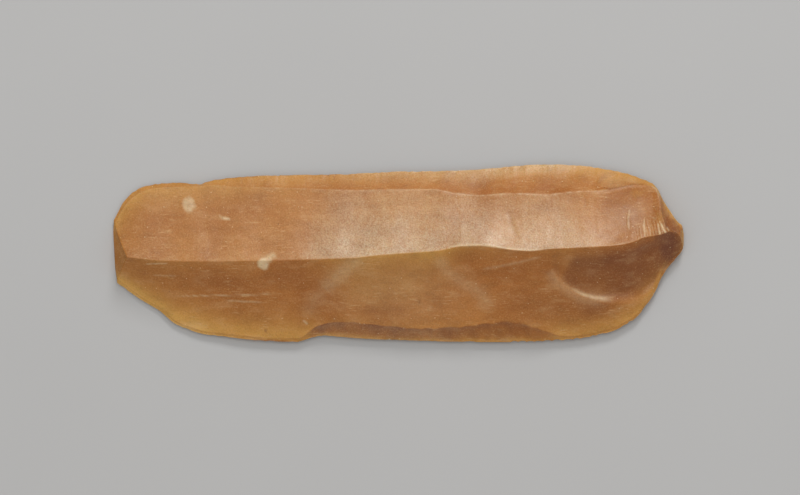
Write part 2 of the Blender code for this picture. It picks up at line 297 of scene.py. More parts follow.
def snap_plane(y, z):
    """X of the snapped end's facet."""
    corner_y = WIDTH * CUTTING_EDGE[0][1] / 100
    return math.tan(SNAP_LEAN) * z + math.tan(SNAP_SKEW) * (corner_y - y)


def platform_plane(y, z):
    """X of the striking platform's facet, which is square to the blade, so y doesn't change it."""
    foot = ARCH_HEIGHT * INNER_ARCH[-1][1] / 100
    return LENGTH - math.tan(PLATFORM_LEAN) * (z - foot)


def line_point(line_y, height, x):
    """The line's y and z at x. An edge has no height of its own: it lies on the inner face."""
    y = line_y(x)
    z = inner_face_height(x, y) if height is None else THICKNESS * smooth_curve(height, x / LENGTH)
    return y, z


def line_along_blade(line_y, height):
    """The line's points, one for each station, from the snapped end's facet to the platform's."""
    start, end = np.zeros(1), np.full(1, LENGTH)
    for _ in range(ROUNDS_TO_END_FACETS):
        start = snap_plane(*line_point(line_y, height, start))
        end = platform_plane(*line_point(line_y, height, end))
    x = start + (end - start) * crowded(STATIONS, END_CROWDING)
    return np.stack([x, *line_point(line_y, height, x)], axis=1)


def scar_frame(points):
    """How far each point lies from the hinge scar's middle, along and across, as shares of its reach."""
    return (points[..., 0] - SCAR_ALONG) / SCAR_LENGTH, (points[..., 1] - SCAR_ACROSS) / SCAR_WIDTH


def scar_step_share(along):
    """Share of the scar's reach that its step takes up: steep at the far end, easy near the platform."""
    return SCAR_STEP_SHARE + (SCAR_SIDE_SHARE - SCAR_STEP_SHARE) * smooth_step(along - SCAR_SIDES_START)


def within_scar(points, share):
    """1 inside the hinge scar, 0 outside, fading at the main ridge, the retouch and the platform."""
    along, across = scar_frame(points)
    inside = smooth_step((1 - np.hypot(along, across)) / scar_step_share(along))
    from_platform = 1 - points[..., 0] / LENGTH
    before_platform = smooth_step((from_platform - SCAR_PLATFORM_GAP) / SCAR_PLATFORM_FADE)
    off_ridge = smooth_step(share / SCAR_RIDGE_FADE)
    return inside * before_platform * off_ridge * smooth_step((1 - share) / SCAR_BACK_FADE)


def lower_facet_shares(ridge, head):
    """Shares across the lower facet, with its columns led along the foot and the rim of the hinge scar."""
    plain = crowded(LOWER_FACES, LINE_CROWDING)[:-1]
    foot, rim = 0.5, 0.64
    along, ridge_across = scar_frame(ridge)
    _, head_across = scar_frame(head)
    near_scar = smooth_step(2.2 - np.abs(along))
    led = []
    for reach, plain_share in ((1 - scar_step_share(along), foot), (np.ones(1), rim)):
        across = -np.sqrt(np.clip(reach**2 - along**2, 0, 1))
        at_scar = np.clip((ridge_across - across) / (ridge_across - head_across), 0.3, 0.8)
        led.append(plain_share + (at_scar - plain_share) * near_scar)
    led[1] = np.maximum(led[1], led[0] + 0.1)
    return np.array([np.interp(plain, [0, foot, rim, 1], [0, a, b, 1]) for a, b in zip(*led)])


def stretch(near, far, shares, hollow):
    """Rows of points from one line up to, and not including, the next, sagging between them."""
    points = near[:, None] + (far - near)[:, None] * shares[..., None]
    breadth = np.linalg.norm((far - near)[:, :2], axis=1)[:, None]
    points[..., 2] -= 4 * hollow * breadth * shares * (1 - shares)
    return points


def ripples(points, length, seed):
    """Waves that spread over a fracture surface from the point where the flake was struck, from -1 to 1."""
    from_blow = np.hypot(points[..., 0] - LENGTH, 1.3 * points[..., 1])
    return np.sin(2 * math.pi * from_blow / length + 2.5 * cloud(points, 14 * MM, seed, 1))


def off_lines(shares, margin=0.05):
    """1 over a stretch, and 0 on the lines at both sides of it."""
    return smooth_step(shares / margin) * smooth_step((1 - shares) / margin)


# Small forms of the outer face: paths and ovals in percentages of the length and the width
LOWER_CREST = ((60, -12), (64.3, -9.4), (69.5, -6.3), (75.7, -1.5))
STRIP_CHIP = (87.3, 39.5, 2.6, 4.6)
MIDDLE_STEPS = ((60.6, 0.04), (84.4, 0.02), (90.4, 0.04))
MIDDLE_VALLEYS = (
    (((69.2, 28), (69.6, 20), (70.2, 13), (71.2, 6)), 0.45 * MM, 0.07 * MM),
    (((82.7, 32), (82.8, 28), (82.7, 24.5)), 0.25 * MM, 0.03 * MM),
    (((84.6, 18), (84.8, 14), (84.5, 10)), 0.2 * MM, 0.03 * MM),
)
CRACKS = (
    ((90.6, 25.8), (90.3, 20.5), (90.3, 16), (90.5, 12.5)),
    ((93.2, 21), (93, 16), (93.2, 12.5), (93.2, 8.5)),
    ((95.5, 17.2), (95.7, 13.5), (95.9, 10)),
    ((96, 17), (96.4, 13.8), (97, 11)),
    ((97, 14.8), (97.5, 12.4)),
    ((94.1, 17), (94.2, 13), (94.2, 9)),
    ((94, 21), (95.2, 19)),
)
FAN_MIDDLE = (0.975 * LENGTH, 0.085 * WIDTH)
FAN_REACH = 7 * MM
FAN_WAVES = 34
FAN_SIDES = (0.35, 1.45)
COMB_SPACING = 0.47 * MM
COMB_REACH = 3.6 * MM
COMB_PLACES = (0.905, 0.976)


def fan(points):
    """Fine curved ridges that spread over the middle facet from the platform's corner, from -1 to 1."""
    dx, dy = FAN_MIDDLE[0] - points[..., 0], points[..., 1] - FAN_MIDDLE[1]
    reach, angle = np.hypot(dx, dy), np.arctan2(dy, dx)
    waves = np.sin(FAN_WAVES * angle + 900 * reach + 1.5 * cloud(points, 1.5 * MM, 5, 1))
    spread = smooth_step((angle - FAN_SIDES[0]) / 0.3) * smooth_step((FAN_SIDES[1] - angle) / 0.3)
    return waves * spread * smooth_step((FAN_REACH - reach) / (3 * MM)) * smooth_step(reach / (1.5 * MM))


def comb(points):
    """Fine teeth that stand on the main ridge beside the platform and lean away from it, from 0 to 1."""
    x = points[..., 0]
    up = points[..., 1] - main_ridge_y(x)
    place = x + 0.1 * up + 40 * up**2 + 0.12 * MM * cloud(points, 1.2 * MM, 15, 1)
    teeth = np.sin(2 * math.pi * place / COMB_SPACING) * 0.5 + 0.5
    start, end = COMB_PLACES
    near = smooth_step((x / LENGTH - start) / 0.02) * smooth_step((end - x / LENGTH) / 0.01)
    return teeth**3 * near * smooth_step((COMB_REACH - up) / (2.4 * MM))


def middle_relief(points, shares):
    """Small heights of the middle facet: ripples, shallow steps, a valley, the fan and its cracks."""
    heights = 0.06 * MM * ripples(points, 7.5 * MM, 1) + 0.025 * MM * cloud(points, 1.6 * MM, 2)
    x = percent_along(points) + 1.2 * (0.5 - shares) ** 2
    for place, height in MIDDLE_STEPS:
        heights += height * MM * smooth_step((x - place) / 0.5) * smooth_step((place + 6 - x) / 6)
    for path, half_width, depth in MIDDLE_VALLEYS:
        heights -= depth * streak(points, path, half_width, 0.3)
    heights += 0.025 * MM * fan(points) + 0.05 * MM * comb(points)
    for crack in CRACKS:
        heights += 0.05 * MM * streak(points, crack, 0.13 * MM)
    return heights * off_lines(shares)


def lower_relief(points, shares):
    """Small heights of the lower facet: the hinge scar, ripples and a faint crest below the ridge."""
    inside = within_scar(points, shares)
    heights = -SCAR_DEPTH * inside
    swell = 0.06 * MM * ripples(points, 9 * MM, 3) + 0.025 * MM * cloud(points, 1.6 * MM, 4)
    heights += swell * off_lines(shares)
    heights += 0.02 * MM * inside * ripples(points, 2.6 * MM, 6)
    heights += 0.09 * MM * streak(points, LOWER_CREST, 0.7 * MM) * off_lines(shares, 0.02)
    return heights


def strip_relief(points, shares):
    """Small heights of the strip: its grain, the nibbled edge, a chip and the crushed platform end."""
    chip = smooth_step((1 - oval(points, *STRIP_CHIP) - 0.25 * cloud(points, 1.0 * MM, 9)) / 0.2)
    rough = cloud(points, 0.5 * MM, 10)
    heights = 0.025 * MM * cloud(points, 1.6 * MM, 7) + 0.03 * MM * ripples(points, 5 * MM, 8)
    heights -= chip * (0.18 * MM + 0.07 * MM * rough)
    nibbles = scallops(points[..., 0], 31, NIBBLE_BREADTHS, kept=0.4)
    heights -= NIBBLE_DEPTH * nibbles * smooth_step((0.35 - shares) / 0.3)
    heights += 0.09 * MM * rough * smooth_step((points[..., 0] / LENGTH - 0.956) / 0.01)
    return heights * off_lines(shares)


def retouch_relief(points, shares):
    """Small heights of the retouch: the hollows of the little scars that blunt the back."""
    breadth = WIDTH * smooth_curve(RETOUCH_BREADTH, points[..., 0] / LENGTH)
    scars = scallops(points[..., 0], RETOUCH_SCAR_SEED, RETOUCH_SCAR_BREADTHS)
    rough = cloud(points, 0.8 * MM, 11)
    depth = np.minimum(RETOUCH_SCAR_DEPTH_SHARE * breadth, RETOUCH_SCAR_DEPTH)
    return -(depth * scars * (1 + 0.5 * rough) + 0.03 * MM * rough) * off_lines(shares, 0.2)


def softened(values):
    """Values evened out over the nearest columns, since the lines between the facets are a little worn."""
    values = values.copy()
    for _ in range(WEAR_PASSES):
        values[:, 1:-1] = (values[:, :-2] + 2 * values[:, 1:-1] + values[:, 2:]) / 4
    return values


def outer_face():
    """The outer face's points, a row for each station, and each one's facet and share across it."""
    edge = line_along_blade(nicked_cutting_edge_y, None)
    upper = line_along_blade(upper_ridge_y, UPPER_RIDGE_HEIGHT)
    ridge = line_along_blade(main_ridge_y, MAIN_RIDGE_HEIGHT)
    head = line_along_blade(retouch_head_y, RETOUCH_HEAD_HEIGHT)
    back = line_along_blade(nicked_back_edge_y, None)
    stretches = (
        (edge, upper, STRIP_FACES, STRIP_HOLLOW, strip_relief),
        (upper, ridge, MIDDLE_FACES, MIDDLE_HOLLOW, middle_relief),
        (ridge, head, LOWER_FACES, LOWER_HOLLOW, lower_relief),
        (head, back, RETOUCH_FACES, RETOUCH_HOLLOW * retouched(head[:, :1]), retouch_relief),
    )
    rows, facets, all_shares = [], [], []
    for facet, (near, far, faces, hollow, relief) in enumerate(stretches):
        shares = np.tile(crowded(faces, LINE_CROWDING)[:-1], (STATIONS + 1, 1))
        if relief is lower_relief:
            shares = lower_facet_shares(near, far)
        points = stretch(near, far, shares, hollow)
        points[..., 2] += relief(points, shares)
        rows.append(points)
        facets.append(np.full(shares.shape, facet))
        all_shares.append(shares)
    rows.append(back[:, None])
    facets.append(np.full((STATIONS + 1, 1), len(stretches) - 1))
    all_shares.append(np.ones((STATIONS + 1, 1)))
    outer = np.concatenate(rows, 1)
    outer[..., 2] = softened(outer[..., 2])
    least = inner_face_height(outer[..., 0], outer[..., 1]) + LEAST_THICKNESS
    outer[:, 1:-1, 2] = np.maximum(outer[..., 2], least)[:, 1:-1]
    return outer, np.concatenate(facets, 1), np.concatenate(all_shares, 1)


def inner_face(outer):
    """The inner face's points, in columns between the two edges of the outer face."""
    share = crowded(INNER_FACES, 0.3)[:, None]
    inner = outer[:, :1] * (1 - share) + outer[:, -1:] * share
    heights = inner_face_height(inner[..., 0], inner[..., 1])
    off_edges = smooth_step(np.minimum(share, 1 - share)[:, 0] / 0.12)
    inner[..., 2] = heights + 0.02 * MM * off_edges * ripples(inner, 5.5 * MM, 12)
    inner[:, [0, -1]] = outer[:, [0, -1]]
    return inner


def trim_to_facets(face):
    """Puts the first and last station exactly on the snapped end's facet and the platform's facet."""
    face[0, :, 0] = snap_plane(face[0, :, 1], face[0, :, 2])
    face[-1, :, 0] = platform_plane(face[-1, :, 1], face[-1, :, 2])


def grid_faces(index):
    """Four-sided faces over a grid of point numbers, as an array."""
    return np.stack([index[:-1, :-1], index[:-1, 1:], index[1:, 1:], index[1:, :-1]], -1).reshape(-1, 4)


def cap_faces(top, bottom):
    """Triangles between an end's upper and lower row of points, which share their first and last point."""
    faces = []
    i = k = 0
    while i < len(top) - 1 or k < len(bottom) - 1:
        if k == len(bottom) - 1 or (i + 1) / len(top) <= (k + 1) / len(bottom) and i < len(top) - 1:
            faces.append((top[i], bottom[k], top[i + 1]))
            i += 1
        else:
            faces.append((top[i], bottom[k], bottom[k + 1]))
            k += 1
    return [face for face in faces if len(set(face)) == 3]


# Thickness at which the painted golden glow of light through the stone is half as strong as at its edges
PAINTED_GLOW_THICKNESS = 1.2 * MM

# Tints of the end facets, and the value of the painted sheen and gloss for a dull surface
SNAP_THIN, SNAP_DUSK, PLATFORM_THIN, PLATFORM_DUSK = 0.32, 0.2, 0.5, 0.5
DULL = -0.55

# Painted golden glow below the main ridge along the blade, as percentages, and how far it reaches
PAINTED_GLOW_ALONG = (
    (0, 0), (3, 20), (7, 28), (13, 18), (20, 12), (31, 8), (38, 34), (45, 58), (50, 62), (55, 84), (58, 70),
    (61, 46), (65, 28), (71, 10), (78, 24), (83, 12), (90, 0), (100, 0),
)
PAINTED_GLOW_REACH = 2.1 * MM

# Painted sheen and real gloss of the middle facet and of the strip along the blade, as percentages
PAINTED_SHEEN_AND_GLOSS_ALONG = (
    (0, 12), (27, 12), (32, 18), (34.5, 40), (36.5, 62), (41, 72), (47, 74), (54, 70), (58, 62), (60.2, 60),
    (61.5, 64), (65, 60), (69.5, 54), (70.6, 46), (72.5, 64), (78, 60), (82, 34), (84.5, 14),
    (88, 4), (91, -8), (93.5, -40), (100, -50),
)
STRIP_PAINTED_SHEEN_AND_GLOSS_ALONG = (
    (0, 0), (20, -15), (34, -15), (42, 12), (50, 28), (58, 30), (66, 36), (76, 34), (82, 8), (86, -15),
    (93, -15), (100, -15),
)

# Warm and dark marks: ovals with their softness and strength
WARM_SPOTS = (
    (91.6, 33.6, 2.2, 3.6, 0.7, 0.3),
    (8, 33, 9, 7, 1.0, 0.3),
    (47, -17, 15, 26, 1.0, 0.27),
    (96, 20, 1.6, 9, 1.0, 0.4),
)
DUSKY_STREAKS = (
    # The first three paint shade along the middle facet's valleys
    (MIDDLE_VALLEYS[0][0], 0.5 * MM, 0.17),
    (MIDDLE_VALLEYS[1][0], 0.2 * MM, 0.2),
    (MIDDLE_VALLEYS[2][0], 0.16 * MM, 0.2),
    (((84.6, 37.5), (85.6, 42), (87, 44.5)), 0.25 * MM, 0.4),
    (((85.5, 35.2), (86.7, 35.9), (89.5, 37.3), (91.2, 38.7), (94.2, 39)), 0.13 * MM, 0.55),
)
DUSKY_SPOTS = (
    (97.5, 3, 4.5, 22, 0.9, 0.9),
    (84, -31, 7, 9, 1.0, 0.36),
    (75.5, -30, 11, 17, 1.0, 0.26),
    (18, -15, 14, 10, 1.0, 0.16),
    (30, -14, 8, 10, 1.0, 0.16),
    (95.5, 22, 3, 14, 1.0, 0.3),
    (90, 20, 8, 24, 1.0, 0.23),
    (29, 7, 8, 10, 1.0, 0.12),
    (90.6, 34, 1.4, 3.6, 0.8, 0.22),
    (37.8, 44.1, 0.26, 0.9, 0.8, 1.0),
    (39.05, 44.7, 0.22, 0.8, 0.8, 1.0),
    (38.8, 42.5, 0.22, 0.8, 0.8, 0.8),
    (26.8, -43.6, 0.28, 0.9, 0.8, 0.9),
    (53.7, -27.3, 0.4, 1.3, 0.8, 0.7),
)

# Pale marks: paths with their half-width and strength, and ovals with their softness and strength
PALE_STREAKS = (
    (((42.4, -2), (39.4, -12.3), (37.1, -20.7), (34.9, -29.2), (33.3, -36.5)), 1.2 * MM, 0.16),
    (((44, -1), (41, -9), (38.5, -16), (36.5, -22)), 1.4 * MM, 0.3),
    (((55.9, 0), (58.5, -10.6), (61.3, -16.8), (64.1, -21.8), (66.9, -34.8)), 1.2 * MM, 0.22),
    (((76.5, -8), (77.2, -14), (78.6, -18.5), (82, -25.5), (87, -29)), 0.9 * MM, 0.25),
    (((18.5, 20.8), (19.6, 19.6), (20.7, 18.9)), 0.14 * MM, 1.0),
    (((10.2, -24.2), (22, -23.6), (28.2, -23)), 0.1 * MM, 0.5),
    (((19.6, -26.6), (26.6, -27.9)), 0.1 * MM, 0.4),
    (((5.6, -6.1), (9.8, -5.7)), 0.1 * MM, 0.5),
    (((6.8, -12.3), (11.4, -12.8)), 0.1 * MM, 0.35),
    (((45.8, -22.6), (48.6, -22), (52, -24.2)), 0.1 * MM, 0.35),
    (((33.3, -37.5), (34.2, -40.2)), 0.15 * MM, 0.7),
    (((94.2, 38), (95.2, 36), (95.6, 33), (95.7, 30)), 0.14 * MM, 0.4),
    # Painted highlight along the main ridge
    (((58, 3.2), (61, 4.4), (64.3, 4.7), (70.4, 2.2), (73, 1.7), (76.5, 2.6)), 0.16 * MM, 0.8),
    (((25.9, -5.8), (26.8, -3.2), (28.8, -0.2)), 0.5 * MM, 0.65),
    (CRACKS[0], 0.13 * MM, 0.6),
    (CRACKS[1], 0.12 * MM, 0.75),
    (CRACKS[2], 0.14 * MM, 0.9),
    (CRACKS[3], 0.16 * MM, 1.0),
    (CRACKS[4], 0.12 * MM, 0.7),
    (CRACKS[5], 0.13 * MM, 0.35),
    (CRACKS[6], 0.11 * MM, 0.4),
    # Painted highlight along the faint crest below the main ridge
    (LOWER_CREST[1:], 0.2 * MM, 0.25),
)
PALE_SPOTS = (
    (13.3, 27.5, 1.3, 5.5, 0.42, 0.75),
    (14.3, 26.5, 0.55, 1.8, 0.6, 0.6),
    (26.4, -5.9, 1.2, 4.3, 0.45, 1.0),
    (27.3, -3.2, 1.0, 3.0, 0.7, 0.75),
    (13.3, -41, 5, 4.5, 1.0, 0.22),
    (47.5, 25, 0.3, 0.9, 0.6, 0.4),
    (50, -23, 18, 30, 1.0, 0.14),
    (87.6, 39.5, 3.4, 4.6, 0.8, 0.2),
    (90.5, 41, 2.4, 2.6, 0.8, 0.16),
    (91, 20, 6, 15, 1.0, 0.12),
)


def ridge_lines(facets, shares):
    """1 on the lines at both sides of the strip and of the middle facet, falling off beside them."""
    return np.exp(-((np.minimum(shares, 1 - shares) / 0.02) ** 2)) * (facets <= MIDDLE)


def platform_corner(x, facets):
    """1 on the strip's crushed corner beside the platform, with x as a percentage."""
    return (facets == STRIP) * smooth_step((x - 95.6) / 0.8)


def dark_back_edge(x, facets, shares):
    """1 along the dark part of the back's plain margin, with x as a percentage."""
    return smooth_step((shares - 0.3) / 0.5) * bump_between(x, 21, 34) * (facets == RETOUCH)


def with_streaks(values, points, streaks, fade=0.15):
    """Values raised to each streak's strength along it."""
    for path, half_width, strength in streaks:
        values = np.maximum(values, strength * streak(points, path, half_width, fade))
    return values


def with_spots(values, points, spots, waver=0.0):
    """Values raised to each oval spot's strength inside it. The waver makes their outlines uneven."""
    for along, across, length, width, softness, strength in spots:
        near = oval(points, along, across, length, width) + waver
        values = np.maximum(values, strength * smooth_step((1 - near) / softness))
    return values


def painted_glow_tint(outer, facets, shares, blunted, rough):
    """How golden each point is, a painted glow of light through the stone: most at the thin margins and
    below the main ridge.
    """
    x = percent_along(outer)
    thickness = outer[..., 2] - inner_face_height(outer[..., 0], outer[..., 1])
    thin = 1 / (1 + (np.maximum(thickness, 0) / PAINTED_GLOW_THICKNESS) ** 2.4)
    thin *= (1 - 0.8 * blunted) * (1 - 0.7 * smooth_step((x - 91) / 4) * (facets == MIDDLE))
    thin *= np.where(facets == STRIP, 0.45 + 0.15 * smooth_step((x - 66) / 8), 1)
    thin *= np.where(facets == MIDDLE, 0.75, 1)
    thin = np.maximum(thin, 0.13 * (facets == MIDDLE))
    less = 0.25 * smooth_step((x - 14) / 8) + 0.15 * smooth_step((x - 60) / 20)
    thin *= np.where(facets >= LOWER, 1 - less, 1)
    thin *= np.where(facets == RETOUCH, 0.8, 1)
    thin = np.maximum(thin, 0.45 * blunted * smooth_step((shares - 0.6) / 0.3))
    thin = np.maximum(thin, (0.8 - 2.4 * shares - 0.3 * rough) * platform_corner(x, facets))
    thin = np.maximum(thin, with_spots(np.zeros(x.shape), outer, WARM_SPOTS) * (facets != RETOUCH))
    below_ridge = np.maximum(main_ridge_y(outer[..., 0]) - outer[..., 1], 0)
    glow = np.exp(-below_ridge / PAINTED_GLOW_REACH) * smooth_curve(PAINTED_GLOW_ALONG, x / 100) * (facets == LOWER)
    thin += (1 - thin) * glow
    return thin * (1 - 0.5 * dark_back_edge(x, facets, shares))


def pale_tint(outer, facets, shares):
    """How pale each point is: the inclusions, painted highlights on the ridges and the scar's wall, and the
    fine teeth.
    """
    x = percent_along(outer)
    pale = with_streaks(np.zeros(x.shape), outer, PALE_STREAKS)
    pale = with_spots(pale, outer, PALE_SPOTS, 0.12 * cloud(outer, 0.7 * MM, 13))
    # Painted highlights along the lines beside the strip and the middle facet, broken up by noise
    sparkle = np.clip(0.5 + cloud(outer, 0.9 * MM, 14), 0, 1)
    painted_ridge_highlights = (0.15 + 0.35 * smooth_step((x - 30) / 20)) * ridge_lines(facets, shares) * sparkle
    upper_line = (facets == STRIP) | (shares < 0.5)
    pale = np.maximum(pale, painted_ridge_highlights * (1 - 0.85 * smooth_step((x - 85) / 3) * upper_line))
    # Painted highlight on the hinge scar's wall
    along, across = scar_frame(outer)
    from_rim = (1 - np.hypot(along, across)) / scar_step_share(along)
    painted_wall_highlight = np.exp(-(((from_rim - 0.4) / 0.3) ** 2)) * smooth_step((-0.3 - across) / 0.3) * (facets == LOWER)
    painted_wall_highlight *= 0.3 * smooth_step((x - 76) / 2) + 0.6 * smooth_step((x - 80) / 2)
    pale = np.maximum(pale, painted_wall_highlight * smooth_step((88.4 - x) / 3.6))
    pale = np.maximum(pale, 0.4 * comb(outer) * (facets == MIDDLE))
    return pale * (0.85 + 0.3 * cloud(outer, 0.6 * MM, 19))


def dark_tone_and_shade_tint(outer, facets, shares, blunted, rough):
    """How dark each point is: painted shade in the scar's hollow, the blunted back, and the dusky streaks
    and spots.
    """
    x = percent_along(outer)
    mottle = 0.15 * cloud(outer, 4 * MM, 16)
    along, across = scar_frame(outer)
    # Painted shade in the hinge scar's hollow
    hollow = smooth_step((1 - np.hypot(along, across)) / scar_step_share(along)) * (facets == LOWER)
    hollow *= smooth_step((shares - 0.03) / 0.12) * smooth_step((1 - shares) / 0.2)
    hollow *= smooth_step((along + 0.86 - 0.3 * (across + 0.25)) / 0.12)
    dark_tone_and_shade = with_streaks((0.5 + mottle) * hollow, outer, DUSKY_STREAKS, 0.3)
    dark_tone_and_shade = with_spots(dark_tone_and_shade, outer, DUSKY_SPOTS, 0.12 * cloud(outer, 1.2 * MM, 17))
    blotches = 0.35 * cloud(outer, 1.8 * MM, 22)
    blunted_dusk = np.clip(0.4 - 0.5 * shares + 2 * mottle + blotches, 0, 1)
    dark_tone_and_shade = np.maximum(dark_tone_and_shade, blunted * blunted_dusk * (1 - 0.8 * smooth_step((x - 71) / 5)))
    lines = ridge_lines(facets, shares)
    dark_tone_and_shade = np.maximum(dark_tone_and_shade, 0.35 * lines * (facets == STRIP) * smooth_step((34 - x) / 4))
    strip_foot = smooth_step((shares - 0.45) / 0.5) * bump_between(x, 62, 88) * (facets == STRIP)
    dark_tone_and_shade = np.maximum(dark_tone_and_shade, 0.1 * strip_foot)
    crushed = 0.45 * smooth_step((shares - 0.1) / 0.3) + 0.4 * rough
    dark_tone_and_shade = np.maximum(dark_tone_and_shade, crushed * platform_corner(x, facets))
    return np.maximum(dark_tone_and_shade, 0.55 * dark_back_edge(x, facets, shares))


def painted_sheen_and_gloss_tint(outer, facets, shares, blunted):
    """How much painted sheen (whitish colour) and real gloss each point has. Below 0 it is duller than
    plain flint.
    """
    x = percent_along(outer)
    slant = 3 * (1 - shares) * smooth_step((45 - x) / 8) + 6 * (shares - 0.5) * smooth_step((x - 78) / 6)
    painted_sheen_and_gloss = smooth_curve(PAINTED_SHEEN_AND_GLOSS_ALONG, (x - slant) / 100) * (0.3 + 0.7 * shares) * (facets == MIDDLE)
    by_edge = 1 - 0.9 * smooth_step(shares / 0.75)
    painted_sheen_and_gloss += smooth_curve(STRIP_PAINTED_SHEEN_AND_GLOSS_ALONG, x / 100) * by_edge * (facets == STRIP)
    painted_sheen_and_gloss -= 0.3 * smooth_step((shares - 0.15) / 0.35) * smooth_step((x - 62) / 14) * (facets == STRIP)
    painted_sheen_and_gloss += 0.1 * blunted * smooth_step((66 - x) / 12)
    return np.clip(painted_sheen_and_gloss * (1 + 0.25 * cloud(outer, 3 * MM, 18)), DULL, 1)


def tints(outer, facets, shares):
    """The four tints of each point of the outer face, with the end facets' own values at both ends."""
    blunted = retouched(outer[..., 0]) * (facets == RETOUCH)
    rough = cloud(outer, 0.6 * MM, 20)
    thin = painted_glow_tint(outer, facets, shares, blunted, rough)
    dark_tone_and_shade = dark_tone_and_shade_tint(outer, facets, shares, blunted, rough)
    painted_sheen_and_gloss = painted_sheen_and_gloss_tint(outer, facets, shares, blunted)
    thin[0], thin[-1] = np.maximum(thin[0], SNAP_THIN), np.maximum(thin[-1], PLATFORM_THIN)
    dark_tone_and_shade[0], dark_tone_and_shade[-1] = np.maximum(dark_tone_and_shade[0], SNAP_DUSK), np.maximum(dark_tone_and_shade[-1], PLATFORM_DUSK)
    painted_sheen_and_gloss[[0, -1]] = DULL
    pale = pale_tint(outer, facets, shares)
    return {"thin": softened(thin), "pale": pale, "dark_tone_and_shade": softened(dark_tone_and_shade), "painted_sheen_and_gloss": softened(painted_sheen_and_gloss)}


def blade_object():
    """The fine blade as one closed mesh in the CAD frame, with its tints as point attributes."""
    outer, facets, shares = outer_face()
    inner = inner_face(outer)
    for face in (outer, inner):
        trim_to_facets(face)
    stations, columns = outer.shape[:2]
    inner_columns = inner.shape[1]
    over = np.arange(stations * columns).reshape(stations, columns)
    under = np.empty((stations, inner_columns), int)
    under[:, 0], under[:, -1] = over[:, 0], over[:, -1]
    under[:, 1:-1] = over.size + np.arange(stations * (inner_columns - 2)).reshape(stations, -1)
    points = np.concatenate([outer.reshape(-1, 3), inner[:, 1:-1].reshape(-1, 3)])

    faces = grid_faces(over).tolist() + grid_faces(under)[:, ::-1].tolist()
    faces += cap_faces(over[0].tolist(), under[0].tolist())
    faces += [face[::-1] for face in cap_faces(over[-1].tolist(), under[-1].tolist())]

    middle = (points.min(0) + points.max(0)) / 2
    points[:, 0] += (LOW.x + HIGH.x) / 2 - middle[0]
    points[:, 1] += (LOW.y + HIGH.y) / 2 - middle[1]
    points[:, 2] += LOW.z - points[:, 2].min()
    mesh = bpy.data.meshes.new("flint_surface")
    mesh.from_pydata(points.tolist(), [], faces)
    mesh.shade_smooth()

    from_edge = np.minimum(np.linspace(0, 1, inner_columns), np.linspace(1, 0, inner_columns))[1:-1]
    breadth = (outer[:, 0, 1] - outer[:, -1, 1])[:, None]
    # The inner face gets the painted golden glow near its edges too
    inner_tints = {"thin": 1 / (1 + (0.8 * from_edge * breadth / (1.5 * MM)) ** 2)}
    inner_tints["painted_sheen_and_gloss"] = np.full((stations, inner_columns - 2), DULL / 3)
    inner_tints["painted_sheen_and_gloss"][[0, -1]] = DULL
    for name, values in tints(outer, facets, shares).items():
        under_values = inner_tints.get(name, np.zeros((stations, inner_columns - 2)))
        attribute = mesh.attributes.new(name, "FLOAT", "POINT")
        attribute.data.foreach_set("value", np.concatenate([values.ravel(), under_values.ravel()]))

    mark_sharp(mesh, [over[:, 0], over[:, -1], over[0], over[-1], under[0], under[-1]])
    blade = bpy.data.objects.new("flint_surface", mesh)
    bpy.context.scene.collection.objects.link(blade)
    return blade


def mark_sharp(mesh, lines):
    """Marks the mesh's edges along rows of point numbers as sharp."""
    pairs = np.concatenate([np.stack([line[:-1], line[1:]], 1) for line in lines])
    pairs.sort(1)
    edges = np.empty(2 * len(mesh.edges), int)
    mesh.edges.foreach_get("vertices", edges)
    edges = np.sort(edges.reshape(-1, 2), 1)
    count = len(mesh.vertices)
    sharp = np.isin(edges[:, 0] * count + edges[:, 1], pairs[:, 0] * count + pairs[:, 1])
    mesh.edges.foreach_set("use_edge_sharp", sharp)


